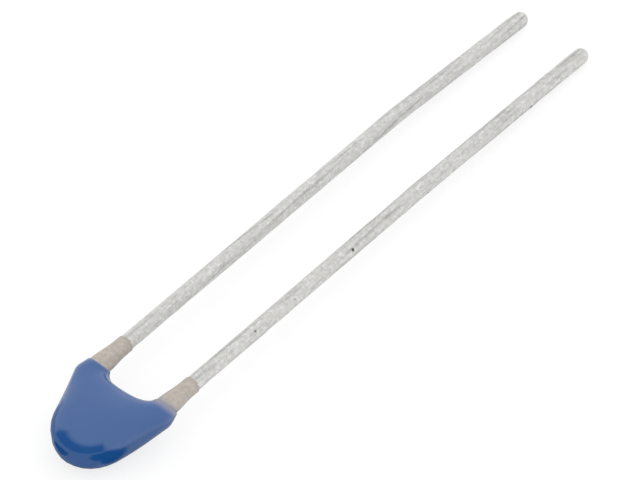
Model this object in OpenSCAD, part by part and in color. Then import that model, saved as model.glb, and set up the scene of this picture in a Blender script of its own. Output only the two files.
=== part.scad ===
// NTC thermistor with radial leads.
// A small ceramic disc is soldered between two tinned copper wires, dipped in a beige
// lacquer that climbs a little way up both wires, and then dipped in a blue lacquer.
// The form is worked out upright, with X across the leads, Y from the disc's centre to
// the tips, Z = 0 in the plane of the leads and +Z to the front. It is then laid down
// as it rests: front face up, on the back of its head and the two tips. Millimetres.

/* [Ceramic disc] */
// Diameter of the ceramic disc
disc_d = 1.4; // [1.3:0.05:1.6]
// Thickness of the ceramic disc
disc_t = 0.24; // [0.2:0.02:0.36]

/* [Silver and solder] */
// Thickness of the fired silver on each face of the disc
silver_t = 0.02; // [0.01:0.005:0.04]
// Bare ceramic left round the silver
silver_margin = 0.08; // [0.04:0.01:0.1]
// Solder between a wire and the silver
solder_film = 0.02; // [0.01:0.005:0.05]
// Radius of the solder fillet along each side of a wire
solder_fillet = 0.2; // [0.1:0.02:0.24]
// Length of the solder joint's straight middle
solder_len = 0.3; // [0.1:0.05:0.32]

/* [Leads] */
// Diameter of the tinned wire
lead_d = 0.5; // [0.4:0.02:0.54]
// Distance between the leads where they leave the lacquer
pitch = 2.54; // [2.2:0.02:2.9]
// Bare length of the leads beyond the lacquer
lead_len = 18; // [16:0.5:30]
// Wire left past the middle of the disc
lead_past = 0.15; // [0.05:0.05:0.2]
// Radius of the tight bends inside the lacquer, at the middle of the wire
bend_r = 0.45; // [0.35:0.05:0.5]
// Radius of the slight outer kink in each lead
kink_r = 4; // [1:0.5:10]
// How much thinner the wire is drawn in its bends
bend_thinning = 0.008; // [0.006:0.001:0.02]
// Distance from the lacquer to the left lead's kink
left_kink_at = 12.4; // [8:0.2:13]
// Outward lean of the left lead before its kink, in degrees
left_lean = 0.6; // [0.2:0.1:1]
// Inward turn of the left lead at its kink, in degrees
left_kink = 2.6; // [0.5:0.1:4]
// Distance from the lacquer to the right lead's kink
right_kink_at = 10.4; // [8:0.2:13]
// Inward lean of the right lead before its kink, in degrees
right_lean = 0.9; // [0.2:0.1:1]
// Outward turn of the right lead at its kink, in degrees
right_kink = 0.9; // [0.5:0.1:4]

/* [Beige undercoat] */
// Lacquer round the rim of the disc
rim_cover = 0.5; // [0.45:0.01:0.6]
// Lacquer over the front wire where it lies on the disc
front_cover = 0.09; // [0.08:0.01:0.15]
// Lacquer over the back wire where it lies on the disc
back_cover = 0.14; // [0.12:0.01:0.2]
// How far the edge of the head's round end lies behind the plane of the leads
head_drop = 0.42; // [0.3:0.02:0.5]
// Radius of the shoulders below the leads
shoulder_r = 0.425; // [0.38:0.005:0.46]
// Depth of the shoulders' centres below the level of the blue coat
shoulder_drop = 0.46; // [0.4:0.01:0.55]
// Depth of the saddle between the leads, below the level of the blue coat
saddle_depth = 0.4; // [0.3:0.01:0.5]
// Length of the beige collars above the blue coat
collar_len = 1.16; // [0.6:0.02:2]
// Lacquer on the wire at the top of a collar
collar_wall = 0.02; // [0.015:0.005:0.04]
// Lacquer on the sides of the wire at the foot of a collar
flare_side = 0.1; // [0.06:0.01:0.14]
// Lacquer on the front and back of the wire at the foot of a collar
flare_face = 0.05; // [0.03:0.01:0.08]

/* [Blue top coat] */
// Height of the blue coat's edge above the disc's centre, at the middle of each wire
dip_height = 1.8; // [1.7:0.01:2]
// Slope of the blue coat's edge, lower in front than behind
edge_slant = 0.6; // [0:0.05:0.8]
// Thickness of the blue coat
top_t = 0.03; // [0.02:0.005:0.06]

/* [Hidden] */

// Where the wires lie on the disc
lead_r = lead_d / 2;
half_pitch = pitch / 2;
disc_r = disc_d / 2;
disc_drop = disc_t / 2 + silver_t + solder_film + lead_r;    // the front wire stays in Z = 0
back_axis_z = -2 * disc_drop;
edge_clear = 0.16;   // level wire before it reaches the disc's edge
bend_y = dip_height - 0.22;    // the corner where each wire turns in towards the disc
run_overlap = 0.01;  // how far a straight run reaches over the start of a bend

// The lacquer's form
collar_top = dip_height + collar_len;
head_r = disc_r + rim_cover;
front_t = lead_r + front_cover + head_drop / 2;
back_t = -back_axis_z + lead_r + back_cover - head_drop / 2;
front_lean = 0.21;   // share by which the front is fuller towards the head's round end
front_rise = 1.9;    // how late the front's full thickness comes, from shoulder to middle
back_rise = 0.79;     // how late the back's full thickness comes
back_square = 0.73;  // how square the back's section is, 1 being round
flare_from = 0.22;   // share of a collar's length above the start of its flare
collar_steps = 6;
fan_steps = 40;
ring_points = 32;

// The tips and the lie on the ground
tip_y = collar_top + lead_len;
ball_y = tip_y - lead_r;
$fn = 48;

function unit(v) = v / norm(v);
function smooth(t) = t * t * (3 - 2 * t);

// ---- Wires: straight runs joined by round elbows, along a list of corners ----

function turn(p, i) = acos(unit(p[i] - p[i - 1]) * unit(p[i + 1] - p[i]));
function setback(p, radii, i) = i == 0 || i == len(p) - 1 ? 0 : radii[i] * tan(turn(p, i) / 2);

// Puts its children with their own axes along x, y and z, at a point
module place(x, y, z, at) {
    multmatrix([[x.x, y.x, z.x, at.x], [x.y, y.y, z.y, at.y], [x.z, y.z, z.z, at.z]])
        children();
}

// Straight run of wire, with a round end if asked
module run(a, b, round_end) {
    z = unit(b - a);
    x = unit(cross(z, [0, 0, 1]));
    l = norm(b - a) - (round_end ? lead_r : 0);
    place(x, cross(z, x), z, a)
        rotate_extrude() {
            square([lead_r, l]);
            if (round_end)
                translate([0, l]) intersection() {
                    circle(lead_r);
                    square(lead_r);
                }
        }
}

// Round elbow at corner i
module elbow(p, radii, i) {
    u = unit(p[i] - p[i - 1]);
    v = unit(p[i + 1] - p[i]);
    n = unit(v - (v * u) * u);
    place(-n, u, cross(u, n), p[i] - u * setback(p, radii, i) + n * radii[i])
        rotate_extrude(angle = turn(p, i))
            translate([radii[i], 0]) circle(lead_r - bend_thinning / 2);
}

module wire(p, radii) {
    last = len(p) - 2;
    for (i = [0:last]) {
        u = unit(p[i + 1] - p[i]);
        start = i == 0 ? 0 : setback(p, radii, i) - run_overlap;
        end = i == last ? 0 : setback(p, radii, i + 1) - run_overlap;
        run(p[i] + u * start, p[i + 1] - u * end, i == last);
    }
    for (i = [1:last]) elbow(p, radii, i);
}

// Corners of a lead from its shoulder bend to its tip. side is -1 for the left lead.
function outer_corners(side, lean, kink, kink_at) =
    let (x = side * half_pitch,
         kink_x = x - kink_at * tan(lean),
         tip_x = kink_x + (lead_len - kink_at) * tan(kink - lean))
    [[x, bend_y, 0],
     [x, collar_top, 0],
     [kink_x, collar_top + kink_at, 0],
     [tip_x, tip_y, 0]];

// The left lead lies on the front of the disc and the right one on the back, each
// along a line from its shoulder bend through the disc's middle
inward = unit([half_pitch, -bend_y, 0]);
outward = unit([half_pitch, bend_y, 0]);
left_corners = concat([inward * lead_past],
                      outer_corners(-1, left_lean, left_kink, left_kink_at));
right_corners = concat([[0, 0, back_axis_z] - outward * lead_past,
                        [0, 0, back_axis_z] + outward * (disc_r + edge_clear)],
                       outer_corners(1, right_lean, right_kink, right_kink_at));
left_radii = [0, bend_r, kink_r, kink_r, 0];
right_radii = [0, bend_r, bend_r, kink_r, kink_r, 0];

// ---- Lacquer: rings down the left collar, round the head like a fan, up the right ----
// A ring is named by its height above the disc's centre and its fan angle: 0 across the
// left collar, 90 down the middle of the head, 180 across the right collar.

// Distance along a ray from the origin to the far side of a circle, or 0 if it misses
function ray_circle(dir, centre, r) =
    let (along = dir * centre, d = along * along - centre * centre + r * r)
    d < 0 ? 0 : along + sqrt(d);

// Distance along a ray to the straight side that touches two circles, or 0 if it misses
function ray_side(dir, a, a_r, b, b_r) =
    let (span = b - a,
         facing = atan2(span.y, span.x) - acos((a_r - b_r) / norm(span)),
         n = [cos(facing), sin(facing)],
         from = a + n * a_r,
         to = b + n * b_r,
         r = (n * from) / max(n * dir, 0.001),
         share = (dir * r - from) * (to - from) / ((to - from) * (to - from)))
    share < 0 || share > 1 ? 0 : r;

// Outline of the head seen from the front: from the foot of the collar straight down to
// the shoulder, round it, straight down the flank and round the end
function outline(fan, grow) =
    let (dir = [-cos(fan), -sin(fan)],
         foot = [-half_pitch - lead_r - flare_side - grow, 0],
         shoulder = [-half_pitch, -shoulder_drop],
         end = [0, -dip_height])
    max(ray_side(dir, foot, 0, shoulder, shoulder_r + grow),
        ray_circle(dir, shoulder, shoulder_r + grow),
        ray_side(dir, shoulder, shoulder_r + grow, end, head_r + grow),
        ray_circle(dir, end, head_r + grow));

// The saddle between the leads: half an ellipse
function saddle(fan, grow) =
    1 / norm([cos(fan) / (half_pitch - lead_r - flare_side - grow), sin(fan) / (saddle_depth - grow)]);

function ring(height, fan, grow) =
    let (half = fan > 90 ? 180 - fan : fan,
         down = (collar_top - height) / collar_len,
         flare = smooth(max(0, (down - flare_from) / (1 - flare_from))),
         side_r = lead_r + collar_wall + (flare_side - collar_wall) * flare + grow,
         face_r = lead_r + collar_wall + (flare_face - collar_wall) * flare + grow,
         inner = half == 0 ? half_pitch - side_r : saddle(half, grow),
         outer = half == 0 ? half_pitch + side_r : outline(half, grow),
         full_front = pow(sin(half), front_rise),
         full_back = pow(sin(half), back_rise),
         front = face_r + (front_t + grow - face_r) * full_front,
         back = face_r + (back_t + grow - face_r) * full_back,
         squareness = 1 + (back_square - 1) * full_back,
         slant = edge_slant * down * pow(cos(half), 2))
    [for (i = [0:ring_points - 1])
        let (a = 360 * i / ring_points,
             across = cos(a),
             r = (inner + outer) / 2 + (outer - inner) / 2 * across,
             z = (sin(a) >= 0 ? front * sin(a) * (1 + front_lean * full_front * across)
                  : -back * pow(-sin(a), squareness))
                 - head_drop * full_front * (1 + across) / 2)
        [-cos(fan) * r, height - sin(fan) * r - slant * z, z]];

collar_heights = [for (i = [0:collar_steps - 1]) collar_top - collar_len * i / collar_steps];
fan_angles = [for (i = [0:fan_steps]) 180 * i / fan_steps];
function fan_rings(grow) = [for (fan = fan_angles) ring(dip_height, fan, grow)];
undercoat_rings = concat([for (h = collar_heights) ring(h, 0, 0)],
                         fan_rings(0),
                         [for (i = [1:collar_steps]) ring(collar_heights[collar_steps - i], 180, 0)]);

// Two triangles for each square of a net of rings; first is the number of its first point
function net(count, first, inside_out) =
    [for (j = [0:count - 2], i = [0:ring_points - 1])
        let (a = first + j * ring_points + i,
             b = first + j * ring_points + (i + 1) % ring_points,
             c = b + ring_points,
             d = a + ring_points)
        each inside_out ? [[a, c, b], [a, d, c]] : [[a, b, c], [a, c, d]]];

// Solid through a row of rings, closed by a flat face at each end
module loft(rings) {
    last = (len(rings) - 1) * ring_points;
    polyhedron(points = [for (r = rings) each r],
               faces = concat(net(len(rings), 0, false),
                              [[for (i = [1:ring_points]) ring_points - i]],
                              [[for (i = [0:ring_points - 1]) last + i]]),
               convexity = 6);
}

// Shell between two rows of as many rings, with a flat rim at each end
module shell(outer, inner) {
    first = len(outer) * ring_points;
    last = (len(outer) - 1) * ring_points;
    polyhedron(points = concat([for (r = outer) each r], [for (r = inner) each r]),
               faces = concat(net(len(outer), 0, false),
                              net(len(inner), first, true),
                              [for (i = [0:ring_points - 1])
                                  let (j = (i + 1) % ring_points)
                                  each [[i, first + j, j], [i, first + i, first + j]]],
                              [for (i = [0:ring_points - 1])
                                  let (j = (i + 1) % ring_points)
                                  each [[last + i, last + j, first + last + j],
                                        [last + i, first + last + j, first + last + i]]]),
               convexity = 8);
}

// ---- Lying at rest ----

// The tilt at which the tips and the back of the head meet one level plane
body_points = [for (r = fan_rings(top_t)) each r];
rest_tilt = max([for (p = body_points)
    atan2(-p.z, ball_y - p.y) - asin(lead_r / norm([p.z, ball_y - p.y]))]);
lift = ball_y * sin(rest_tilt) + lead_r;
far_y = ball_y * cos(rest_tilt) + lead_r;
near_y = min([for (p = body_points) p.y * cos(rest_tilt) + p.z * sin(rest_tilt)]);

module at_rest() {
    translate([0, -(far_y + near_y) / 2, lift]) rotate([-rest_tilt, 0, 0]) children();
}

// ---- The pieces, upright ----

module disc_shape() {
    translate([0, 0, -disc_drop - disc_t / 2]) cylinder(r = disc_r, h = disc_t);
}

// face is 1 at the front of the disc and -1 at the back
module silver_shape(face) {
    translate([0, 0, -disc_drop + face * (disc_t + silver_t) / 2])
        cylinder(r = disc_r - silver_margin, h = silver_t, center = true);
}

module lead_shape(side) {
    if (side < 0) wire(left_corners, left_radii);
    else wire(right_corners, right_radii);
}

// Half the section of a solder joint: flat on the silver, hollow up the side of the wire
module fillet_profile() {
    foot = lead_r + solder_fillet;
    difference() {
        square([foot, solder_fillet]);
        translate([foot, solder_fillet]) circle(solder_fillet);
    }
}

module solder_shape(side) {
    slope = atan2(bend_y, side * half_pitch);
    difference() {
        translate([0, 0, -disc_drop])
            rotate([side < 0 ? 0 : 180, 0, slope])
                translate([0, 0, disc_t / 2 + silver_t]) {
                    translate([-solder_len / 2, 0, 0]) rotate([90, 0, 90])
                        linear_extrude(solder_len) {
                            fillet_profile();
                            mirror([1, 0]) fillet_profile();
                        }
                    for (s = [0, 180]) rotate([0, 0, s]) translate([solder_len / 2, 0, 0])
                        rotate([0, 0, -90]) rotate_extrude(angle = 180) fillet_profile();
                }
        lead_shape(side);
    }
}

// ---- The pieces, laid down ----

module ceramic_disc() { color("#3d3a38") at_rest() disc_shape(); }
module front_silver() { color("#d8d8d4") at_rest() silver_shape(1); }
module back_silver() { color("#d8d8d4") at_rest() silver_shape(-1); }
module front_solder() { color("#b4b6b8") at_rest() solder_shape(-1); }
module back_solder() { color("#b4b6b8") at_rest() solder_shape(1); }
module left_lead() { color("#cfcecb") at_rest() lead_shape(-1); }
module right_lead() { color("#cfcecb") at_rest() lead_shape(1); }

module base_coat() {
    color("#b4ada3") at_rest() difference() {
        loft(undercoat_rings);
        disc_shape();
        for (side = [-1, 1]) {
            silver_shape(side);
            solder_shape(side);
            lead_shape(side);
        }
    }
}

module top_coat() {
    color("#5571a4") at_rest() shell(fan_rings(top_t), fan_rings(0));
}

ceramic_disc();
front_silver();
back_silver();
front_solder();
back_solder();
left_lead();
right_lead();
base_coat();
top_coat();
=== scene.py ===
from math import cos, radians, sin, tan

import bmesh
import bpy
from mathutils import Matrix, Vector, noise


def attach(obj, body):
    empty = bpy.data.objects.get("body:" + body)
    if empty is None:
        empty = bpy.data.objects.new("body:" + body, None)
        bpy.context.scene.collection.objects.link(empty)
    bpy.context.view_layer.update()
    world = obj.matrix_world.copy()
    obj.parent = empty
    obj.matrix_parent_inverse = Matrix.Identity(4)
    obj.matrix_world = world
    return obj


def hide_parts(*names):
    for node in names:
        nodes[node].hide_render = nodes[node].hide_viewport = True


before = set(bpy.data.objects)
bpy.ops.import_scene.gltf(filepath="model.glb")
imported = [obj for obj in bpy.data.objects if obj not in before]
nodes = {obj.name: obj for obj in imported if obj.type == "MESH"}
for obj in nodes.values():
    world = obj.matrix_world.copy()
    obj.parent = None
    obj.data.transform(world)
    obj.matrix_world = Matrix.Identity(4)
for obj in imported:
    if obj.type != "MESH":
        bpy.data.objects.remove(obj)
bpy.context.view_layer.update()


# ---- Ceramic disc ----
# The working part: a small disc pressed from manganese, nickel and cobalt oxides and
# fired hard. Its resistance falls as it warms. The lacquer hides it.

MM = 0.001


def new_finish(name):
    """A material with its node tree, its links and its main shader."""
    finish = bpy.data.materials.new(name)
    finish.use_nodes = True
    tree = finish.node_tree
    return finish, tree.nodes, tree.links, tree.nodes["Principled BSDF"]


def grain(tree_nodes, links, size, stretch=(1, 1, 1), detail=3.0, rough=0.55):
    """Noise on the piece's own coordinates. size is the width of a grain in metres."""
    place = tree_nodes.new("ShaderNodeTexCoord")
    spread = tree_nodes.new("ShaderNodeMapping")
    spread.inputs["Scale"].default_value = stretch
    cloud = tree_nodes.new("ShaderNodeTexNoise")
    cloud.inputs["Scale"].default_value = 1 / size
    cloud.inputs["Detail"].default_value = detail
    cloud.inputs["Roughness"].default_value = rough
    links.new(place.outputs["Object"], spread.inputs["Vector"])
    links.new(spread.outputs["Vector"], cloud.inputs["Vector"])
    return cloud.outputs["Fac"]


def ramp(tree_nodes, links, value, *stops):
    """A ramp of grey values or colours over a value."""
    band = tree_nodes.new("ShaderNodeValToRGB")
    steps = band.color_ramp.elements
    while len(steps) < len(stops):
        steps.new(1.0)
    for step, (at, tone) in zip(steps, stops):
        step.position = at
        step.color = (*tone, 1) if isinstance(tone, tuple) else (tone, tone, tone, 1)
    links.new(value, band.inputs["Fac"])
    return band.outputs["Color"]


def bump(tree_nodes, links, shader, value, depth):
    """Raises the surface by a value. depth is in metres."""
    relief = tree_nodes.new("ShaderNodeBump")
    relief.inputs["Strength"].default_value = 1.0
    relief.inputs["Distance"].default_value = depth
    links.new(value, relief.inputs["Height"])
    links.new(relief.outputs["Normal"], shader.inputs["Normal"])


def dress(node, finish):
    """Gives a CAD node that stays a finish of its own."""
    nodes[node].data.materials.clear()
    nodes[node].data.materials.append(finish)


fired_oxide, tn, tl, shader = new_finish("fired_oxide")
speckle = grain(tn, tl, 0.06 * MM)
tl.new(ramp(tn, tl, speckle, (0.3, (0.035, 0.032, 0.03)), (0.75, (0.08, 0.074, 0.068))),
       shader.inputs["Base Color"])
shader.inputs["Roughness"].default_value = 0.75
bump(tn, tl, shader, speckle, 0.006 * MM)
dress("ceramic_disc", fired_oxide)


# ---- Silver faces ----
# A paste of silver and glass, screened on each face of the disc and fired at red heat.
# It is dull and slightly grainy, and the solder holds on it.

fired_silver, tn, tl, shader = new_finish("fired_silver")
paste = grain(tn, tl, 0.03 * MM)
tl.new(ramp(tn, tl, paste, (0.3, (0.60, 0.60, 0.57)), (0.75, (0.78, 0.78, 0.75))),
       shader.inputs["Base Color"])
shader.inputs["Metallic"].default_value = 1.0
shader.inputs["Roughness"].default_value = 0.5
bump(tn, tl, shader, paste, 0.002 * MM)
dress("front_silver", fired_silver)
dress("back_silver", fired_silver)


# ---- Solder joints ----
# Tin solder drawn up each side of a wire where it lies on the silver. It sets smooth,
# with a faint frost where it cooled last.

set_solder, tn, tl, shader = new_finish("set_solder")
frost = grain(tn, tl, 0.12 * MM)
tl.new(ramp(tn, tl, frost, (0.35, (0.47, 0.48, 0.49)), (0.7, (0.60, 0.61, 0.62))),
       shader.inputs["Base Color"])
tl.new(ramp(tn, tl, frost, (0.35, 0.22), (0.7, 0.42)), shader.inputs["Roughness"])
shader.inputs["Metallic"].default_value = 1.0
dress("front_solder", set_solder)
dress("back_solder", set_solder)


# ---- Leads ----
# Two half-millimetre copper wires with hot-dipped tin on them, sheared off a reel and
# rounded at the tips. The tin has run along the wire in faint streaks, with small dull
# patches and pinholes.

LEAD_R = 0.25 * MM
HALF_PITCH = 1.27 * MM
DISC_R = 0.7 * MM
BACK_AXIS = -0.82 * MM      # the back wire's middle, below the front wire's
BEND_Y = 1.58 * MM          # where each wire turns in towards the disc
BEND_R = 0.45 * MM
KINK_R = 4 * MM
COLLAR_TOP = 2.96 * MM
LEAD_LEN = 18 * MM
LEAD_PAST = 0.15 * MM       # wire left past the middle of the disc
EDGE_CLEAR = 0.16 * MM      # level wire before the disc's edge
DENT_SIZE = 0.5 * MM
DENT_DEPTH = 0.018          # in millimetres
ROUND_SIDES = 32
RUN_STEP = 0.2 * MM
BEND_STEP = radians(6)
DOME_STEPS = 7
DOME_TURN = 12              # degrees in each step of the rounded tip

# The lie on the ground, on the back of the head and the two tips
TILT = radians(2.78768)
LIFT = 1.25723 * MM
SHIFT = 9.84326 * MM


def laid(x, y, z):
    """Where a point of the upright thermistor comes to lie."""
    return Vector((x, y * cos(TILT) + z * sin(TILT) - SHIFT,
                   z * cos(TILT) - y * sin(TILT) + LIFT))


def lead_corners(side, lean, kink, kink_at):
    """Corners of a lead outside the disc, with the radius of the bend at each."""
    x = side * HALF_PITCH
    kink_x = x - kink_at * tan(radians(lean))
    tip_x = kink_x + (LEAD_LEN - kink_at) * tan(radians(kink - lean))
    return [(laid(x, BEND_Y, 0), BEND_R),
            (laid(x, COLLAR_TOP, 0), KINK_R),
            (laid(kink_x, COLLAR_TOP + kink_at, 0), KINK_R),
            (laid(tip_x, COLLAR_TOP + LEAD_LEN, 0), 0)]


towards = Vector((HALF_PITCH, BEND_Y)).normalized()
reach = DISC_R + EDGE_CLEAR
left_path = [(laid(towards.x * LEAD_PAST, -towards.y * LEAD_PAST, 0), 0)]
left_path += lead_corners(-1, lean=0.6, kink=2.6, kink_at=12.4 * MM)
right_path = [(laid(-towards.x * LEAD_PAST, -towards.y * LEAD_PAST, BACK_AXIS), 0),
              (laid(towards.x * reach, towards.y * reach, BACK_AXIS), BEND_R)]
right_path += lead_corners(1, lean=0.9, kink=0.9, kink_at=10.4 * MM)


def centre_line(path):
    """Points along a wire, evenly apart on its runs and closer round its bends."""
    line = [path[0][0]]
    for before, (corner, radius), after in zip(path, path[1:], path[2:]):
        u = (corner - before[0]).normalized()
        v = (after[0] - corner).normalized()
        turn = u.angle(v)
        back = radius * tan(turn / 2)
        start = corner - u * back
        gap = (start - line[-1]).length
        steps = max(1, int(gap / RUN_STEP))
        line += [line[-1] + u * gap * i / steps for i in range(1, steps + 1)]
        inner = (v - u * v.dot(u)).normalized()
        steps = max(1, round(turn / BEND_STEP))
        for i in range(1, steps + 1):
            a = turn * i / steps
            line.append(start + u * radius * sin(a) + inner * radius * (1 - cos(a)))
    v = (path[-1][0] - line[-1]).normalized()
    gap = (path[-1][0] - line[-1]).length - LEAD_R
    steps = max(1, int(gap / RUN_STEP))
    start = line[-1]
    line += [start + v * gap * i / steps for i in range(1, steps + 1)]
    return line


def draw_wire(name, path):
    """A round bar pushed along the centre line, with a domed tip and shallow dents."""
    line = centre_line(path)
    bm = bmesh.new()
    heading = (line[1] - line[0]).normalized()
    facing = heading.to_track_quat("Z", "Y").to_matrix().to_4x4()
    bmesh.ops.create_circle(bm, cap_ends=True, segments=ROUND_SIDES, radius=LEAD_R,
                            matrix=Matrix.Translation(line[0]) @ facing)
    end = next(iter(bm.faces))
    for i in range(1, len(line)):
        ahead = (line[min(i + 1, len(line) - 1)] - line[i - 1]).normalized()
        end = bmesh.ops.extrude_discrete_faces(bm, faces=[end])["faces"][0]
        swing = heading.rotation_difference(ahead).to_matrix().to_4x4()
        move = Matrix.Translation(line[i]) @ swing @ Matrix.Translation(-line[i - 1])
        bmesh.ops.transform(bm, matrix=move, verts=end.verts)
        heading = ahead
    size = 1.0
    for i in range(1, DOME_STEPS + 1):
        a = radians(DOME_TURN * i)
        end = bmesh.ops.extrude_discrete_faces(bm, faces=[end])["faces"][0]
        rise_by = sin(a) - sin(a - radians(DOME_TURN))
        step = Matrix.Translation(heading * LEAD_R * rise_by)
        middle = end.calc_center_median()
        shrink = (Matrix.Translation(middle) @ Matrix.Scale(cos(a) / size, 4)
                  @ Matrix.Translation(-middle))
        bmesh.ops.transform(bm, matrix=step @ shrink, verts=end.verts)
        size = cos(a)
    bmesh.ops.holes_fill(bm, edges=[e for e in bm.edges if e.is_boundary])
    bmesh.ops.recalc_face_normals(bm, faces=bm.faces)
    bm.normal_update()
    for point in bm.verts:
        dent = 0.5 + 0.5 * noise.noise(point.co / DENT_SIZE)
        point.co -= point.normal * dent * DENT_DEPTH * MM
    mesh = bpy.data.meshes.new(name)
    bm.to_mesh(mesh)
    bm.free()
    for face in mesh.polygons:
        face.use_smooth = True
    piece = bpy.data.objects.new(name, mesh)
    bpy.context.scene.collection.objects.link(piece)
    return piece


def sum_of(tree_nodes, links, *parts):
    """Adds values, each times its own number."""
    total = None
    for value, times in parts:
        step = tree_nodes.new("ShaderNodeMath")
        step.operation = "MULTIPLY_ADD"
        links.new(value, step.inputs[0])
        step.inputs[1].default_value = times
        step.inputs[2].default_value = 0
        if total is not None:
            links.new(total, step.inputs[2])
        total = step.outputs[0]
    return total


def rise(tree_nodes, links, value, low, high):
    """Goes smoothly from 0 to 1 as a value goes from low to high."""
    slope = tree_nodes.new("ShaderNodeMapRange")
    slope.interpolation_type = "SMOOTHSTEP"
    slope.inputs["From Min"].default_value = low
    slope.inputs["From Max"].default_value = high
    links.new(value, slope.inputs["Value"])
    return slope.outputs["Result"]


def blend(tree_nodes, links, share, first, second):
    """Goes from one colour to another by a share."""
    mixer = tree_nodes.new("ShaderNodeMix")
    mixer.data_type = "RGBA"
    links.new(share, mixer.inputs["Factor"])
    links.new(first, mixer.inputs["A"])
    links.new(second, mixer.inputs["B"])
    return mixer.outputs["Result"]


TIN_GRAIN = 0.11 * MM
PINHOLE_CELL = 0.45 * MM

tinned_copper, tn, tl, shader = new_finish("tinned_copper")
patches = grain(tn, tl, TIN_GRAIN, stretch=(1, 0.7, 1), detail=6.0, rough=0.8)
streaks = grain(tn, tl, TIN_GRAIN, stretch=(1, 0.025, 1), detail=2.0)
tin = ramp(tn, tl, patches,
           (0.34, (0.51, 0.50, 0.51)), (0.45, (0.62, 0.61, 0.59)),
           (0.50, (0.65, 0.64, 0.62)), (0.56, (0.69, 0.70, 0.68)),
           (0.68, (0.92, 0.92, 0.91)))
run = ramp(tn, tl, streaks, (0.32, 0.70), (0.48, 0.95), (0.7, 1.0))
worn = tn.new("ShaderNodeMix")
worn.data_type = "RGBA"
worn.blend_type = "MULTIPLY"
worn.inputs["Factor"].default_value = 1.0
tl.new(tin, worn.inputs["A"])
tl.new(run, worn.inputs["B"])
place = tn.new("ShaderNodeTexCoord")
pits = tn.new("ShaderNodeTexVoronoi")
pits.inputs["Scale"].default_value = 1 / PINHOLE_CELL
tl.new(place.outputs["Object"], pits.inputs["Vector"])
rare = tn.new("ShaderNodeSeparateColor")
tl.new(pits.outputs["Color"], rare.inputs["Color"])
pinhole = tn.new("ShaderNodeMath")
pinhole.operation = "MULTIPLY"
tl.new(rise(tn, tl, pits.outputs["Distance"], 0.16, 0.08), pinhole.inputs[0])
tl.new(rise(tn, tl, rare.outputs["Red"], 0.93, 0.95), pinhole.inputs[1])
bare = tn.new("ShaderNodeRGB")
bare.outputs[0].default_value = (0.10, 0.09, 0.09, 1)
tl.new(blend(tn, tl, pinhole.outputs[0], worn.outputs["Result"], bare.outputs[0]),
       shader.inputs["Base Color"])
tl.new(ramp(tn, tl, streaks, (0.3, 0.30), (0.7, 0.50)), shader.inputs["Roughness"])
shader.inputs["Metallic"].default_value = 0.6
bump(tn, tl, shader, sum_of(tn, tl, (patches, 0.8), (streaks, 0.7)), 0.012 * MM)

for name, path in (("left_lead", left_path), ("right_lead", right_path)):
    wire = draw_wire(name + "_wire", path)
    wire.data.materials.append(tinned_copper)
    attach(wire, "root")
    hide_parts(name)


# ---- Beige undercoat ----
# The first dip, a thick beige lacquer that seals the disc and climbs a little way up
# each wire. It dries matt, and shows above the blue as a collar on each lead.


def coat(node):
    """A smooth coat with the form of a CAD node, from a merged copy of its mesh."""
    bm = bmesh.new()
    bm.from_mesh(nodes[node].data)
    bmesh.ops.remove_doubles(bm, verts=bm.verts, dist=0.0005 * MM)
    bmesh.ops.join_triangles(bm, faces=bm.faces, angle_face_threshold=radians(30),
                             angle_shape_threshold=radians(60))
    mesh = bpy.data.meshes.new(node + "_skin")
    bm.to_mesh(mesh)
    bm.free()
    for face in mesh.polygons:
        face.use_smooth = True
    piece = bpy.data.objects.new(node + "_skin", mesh)
    bpy.context.scene.collection.objects.link(piece)
    return piece


def upright(tree_nodes, links):
    """The piece's own coordinates, turned back upright, with the disc's centre at zero."""
    place = tree_nodes.new("ShaderNodeTexCoord")
    stand = tree_nodes.new("ShaderNodeMapping")
    stand.vector_type = "TEXTURE"
    stand.inputs["Location"].default_value = laid(0, 0, 0)
    stand.inputs["Rotation"].default_value = (-TILT, 0, 0)
    split = tree_nodes.new("ShaderNodeSeparateXYZ")
    links.new(place.outputs["Object"], stand.inputs["Vector"])
    links.new(stand.outputs["Vector"], split.inputs["Vector"])
    return split.outputs


TO_MM = 1000
EDGE_Y = 1.8 * MM           # the blue's edge, at the middle of each wire
EDGE_SLANT = 0.6            # lower in front than behind
EDGE_RIPPLE = 0.12          # in millimetres
BEIGE_GRAIN = 0.14 * MM


def blue_share(tree_nodes, links):
    """How blue the lacquer is: sharp at the left leg, faded at the right one."""
    x, y, z = upright(tree_nodes, links)
    ripple = grain(tree_nodes, links, 0.25 * MM, detail=2.0)
    level = sum_of(tree_nodes, links, (y, -TO_MM), (z, -TO_MM * EDGE_SLANT),
                   (ripple, EDGE_RIPPLE))
    top = EDGE_Y * TO_MM - EDGE_RIPPLE / 2
    sharp = rise(tree_nodes, links, level, -top - 0.02, -top + 0.02)
    faded = rise(tree_nodes, links, level, -top - 0.26, -top + 0.30)
    right = rise(tree_nodes, links, x, -0.5 * MM, 0.5 * MM)
    share = tree_nodes.new("ShaderNodeMix")
    share.data_type = "FLOAT"
    links.new(right, share.inputs["Factor"])
    links.new(sharp, share.inputs["A"])
    links.new(faded, share.inputs["B"])
    return share.outputs["Result"]


def beige_tone(tree_nodes, links):
    """The undercoat's mottled beige."""
    mottle = grain(tree_nodes, links, BEIGE_GRAIN, detail=5.0, rough=0.7)
    return ramp(tree_nodes, links, mottle,
                (0.32, (0.39, 0.345, 0.305)), (0.68, (0.52, 0.475, 0.42)))


def blue_tone(tree_nodes, links):
    """The top coat's blue, slightly uneven where it flowed."""
    flow = grain(tree_nodes, links, 0.9 * MM, detail=1.0)
    return ramp(tree_nodes, links, flow,
                (0.3, (0.006, 0.074, 0.262)), (0.7, (0.009, 0.080, 0.275)))


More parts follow.
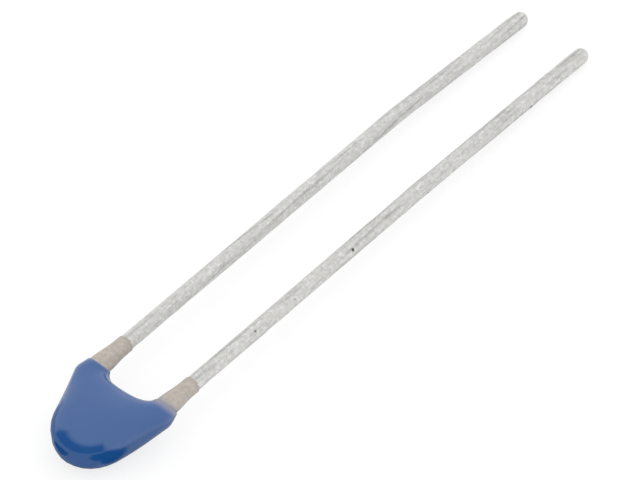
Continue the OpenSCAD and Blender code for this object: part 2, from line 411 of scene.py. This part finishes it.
def lacquer(name):
    """Both coats meet in one line, so each knows the other's colour."""
    finish, tree_nodes, links, shader = new_finish(name)
    share = blue_share(tree_nodes, links)
    links.new(blend(tree_nodes, links, share, beige_tone(tree_nodes, links),
                    blue_tone(tree_nodes, links)), shader.inputs["Base Color"])
    links.new(ramp(tree_nodes, links, share, (0.2, 0.62), (0.9, 0.12)),
              shader.inputs["Roughness"])
    return finish, tree_nodes, links, shader


beige_lacquer, tn, tl, shader = lacquer("beige_lacquer")
shader.inputs["IOR"].default_value = 1.5
bump(tn, tl, shader, grain(tn, tl, BEIGE_GRAIN, detail=4.0), 0.022 * MM)
undercoat = coat("base_coat")
undercoat.data.materials.append(beige_lacquer)
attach(undercoat, "root")
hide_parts("base_coat")


# ---- Blue top coat ----
# The second dip, a thin glossy blue lacquer over the head. It ends in a level line
# across both legs, soft on the right leg, where the blue ran thin.

blue_lacquer, tn, tl, shader = lacquer("blue_lacquer")
shader.inputs["IOR"].default_value = 1.6
shader.inputs["Specular IOR Level"].default_value = 0.72
top_coat = coat("top_coat")
top_coat.data.materials.append(blue_lacquer)
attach(top_coat, "root")
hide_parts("top_coat")


# ---- Floor, light and camera ----
# A pale sheet in a white light tent, a soft box high behind the part, and a long lens
# that looks down from the front right. The gloss alone sees a darker near side: painted
# shade and painted shadow on the sheet in front of, under and beside the head, and an
# opening in the tent.

FLOOR_SIZE = 4
bpy.ops.mesh.primitive_plane_add(size=FLOOR_SIZE, location=(0, 0, 0))
floor = bpy.context.object
floor.name = "floor"


def nearness(tree_nodes, links, place, middle, far, near):
    """Goes from 0 to 1 as a point comes up to a middle."""
    gap = tree_nodes.new("ShaderNodeVectorMath")
    gap.operation = "DISTANCE"
    links.new(place, gap.inputs[0])
    gap.inputs[1].default_value = middle
    return rise(tree_nodes, links, gap.outputs["Value"], far, near)


def combined(tree_nodes, links, operation, *values):
    """Joins values by one operation."""
    total = values[0]
    for value in values[1:]:
        step = tree_nodes.new("ShaderNodeMath")
        step.operation = operation
        links.new(total, step.inputs[0])
        links.new(value, step.inputs[1])
        total = step.outputs[0]
    return total


sheet, tn, tl, shader = new_finish("pale_sheet")
shader.inputs["Roughness"].default_value = 0.9
shader.inputs["Specular IOR Level"].default_value = 0.0
shader.inputs["Emission Color"].default_value = (1, 1, 1, 1)
kind = tn.new("ShaderNodeLightPath")
place = tn.new("ShaderNodeTexCoord")
spot = tn.new("ShaderNodeSeparateXYZ")
tl.new(place.outputs["Object"], spot.inputs["Vector"])
here = place.outputs["Object"]
# Painted shade and painted shadow on the sheet, which only mirrored rays see: a darker
# front, a patch under the head and four spots beside it
slant = sum_of(tn, tl, (spot.outputs["Y"], 1.0), (spot.outputs["X"], 0.3))
painted_shade_in_front = combined(tn, tl, "MULTIPLY", rise(tn, tl, slant, -9.8 * MM, -10.6 * MM),
                    nearness(tn, tl, here, (0, -9.6 * MM, 0), 600 * MM, 300 * MM))
painted_shadow_under_head = nearness(tn, tl, here, (0, -8.9 * MM, 0), 3.4 * MM, 2.2 * MM)
painted_shadows = [ramp(tn, tl, painted_shade_in_front, (0.0, 0.0), (1.0, 0.55)),
        ramp(tn, tl, painted_shadow_under_head, (0.0, 0.0), (1.0, 0.4))]

# Each spot of painted shadow: its middle, and the radii where it fades out and where it is
# full
for x, y, far, near in ((2.5, -11.3, 1.7, 1.0), (1.8, -10.3, 1.0, 0.5),
                        (4.2, -12.6, 2.4, 1.6), (-1.2, -12.0, 1.3, 0.7)):
    painted_shadows.append(nearness(tn, tl, here, (x * MM, y * MM, 0), far * MM, near * MM))
shade = combined(tn, tl, "MAXIMUM", *painted_shadows)
# Only mirrored rays see this painted shadow; camera rays get the plain pale sheet
mirrored_painted_shadow = combined(tn, tl, "MULTIPLY", shade, kind.outputs["Is Glossy Ray"])
pale_with_painted_shadow = ramp(tn, tl, mirrored_painted_shadow, (0.0, 0.85), (1.0, 0.01))
white = ramp(tn, tl, kind.outputs["Is Camera Ray"], (0.0, 1.0), (1.0, 0.29))
tl.new(combined(tn, tl, "MULTIPLY", pale_with_painted_shadow, white), shader.inputs["Base Color"])
glow = ramp(tn, tl, mirrored_painted_shadow, (0.0, 0.12), (1.0, 0.0))
tl.new(sum_of(tn, tl, (kind.outputs["Is Camera Ray"], 0.77),
              (combined(tn, tl, "MULTIPLY", glow, kind.outputs["Is Glossy Ray"]), 1.0)),
       shader.inputs["Emission Strength"])
floor.data.materials.append(sheet)

world = bpy.data.worlds.new("light_tent")
bpy.context.scene.world = world
world.use_nodes = True
wn, wl = world.node_tree.nodes, world.node_tree.links
tent = wn["Background"]
tent.inputs["Color"].default_value = (1, 1, 1, 1)
way = wn.new("ShaderNodeTexCoord")
parts = wn.new("ShaderNodeSeparateXYZ")
wl.new(way.outputs["Generated"], parts.inputs["Vector"])
cloth = combined(wn, wl, "MAXIMUM",
                 rise(wn, wl, parts.outputs["Y"], -0.50, -0.32),
                 rise(wn, wl, parts.outputs["Z"], 0.50, 0.82))
opening = ramp(wn, wl, cloth, (0.0, 0.10), (1.0, 1.0))
seen = wn.new("ShaderNodeLightPath")
plain = wn.new("ShaderNodeMix")
plain.data_type = "FLOAT"
plain.inputs["A"].default_value = 1.0
wl.new(seen.outputs["Is Glossy Ray"], plain.inputs["Factor"])
wl.new(opening, plain.inputs["B"])
wl.new(plain.outputs["Result"], tent.inputs["Strength"])

BOX_SIDE = 0.3
box_light = bpy.data.lights.new("soft_box", "AREA")
box_light.shape = "RECTANGLE"
box_light.size = BOX_SIDE
box_light.size_y = BOX_SIDE
box_light.energy = 0.3
soft_box = bpy.data.objects.new("soft_box", box_light)
soft_box.visible_glossy = False
soft_box.location = (0.0, 0.26, 0.40)
soft_box.rotation_euler = soft_box.location.to_track_quat("Z", "Y").to_euler()
bpy.context.scene.collection.objects.link(soft_box)


def turned(x, y, z):
    """A direction of the upright thermistor after it is laid down."""
    return Vector((x, y * cos(TILT) + z * sin(TILT), z * cos(TILT) - y * sin(TILT)))


IMAGE_WIDTH = 640
PIXELS_PER_MM = 34.313
SENSOR_WIDTH = 36
DISTANCE = 0.6

camera_data = bpy.data.cameras.new("camera")
camera = bpy.data.objects.new("camera", camera_data)
right = turned(0.763, 0.6463, 0.0125).normalized()
back = turned(0.4484, -0.5432, 0.7098).normalized()
up = back.cross(right).normalized()
right = up.cross(back)
target = laid(0.250 * MM, 9.884 * MM, 0)
facing = Matrix((right, up, back)).transposed().to_4x4()
camera.matrix_world = Matrix.Translation(target + back * DISTANCE) @ facing
camera_data.sensor_width = SENSOR_WIDTH
camera_data.lens = SENSOR_WIDTH * PIXELS_PER_MM / IMAGE_WIDTH * TO_MM * DISTANCE
bpy.context.scene.collection.objects.link(camera)
bpy.context.scene.camera = camera

bpy.context.scene.view_settings.view_transform = "Standard"
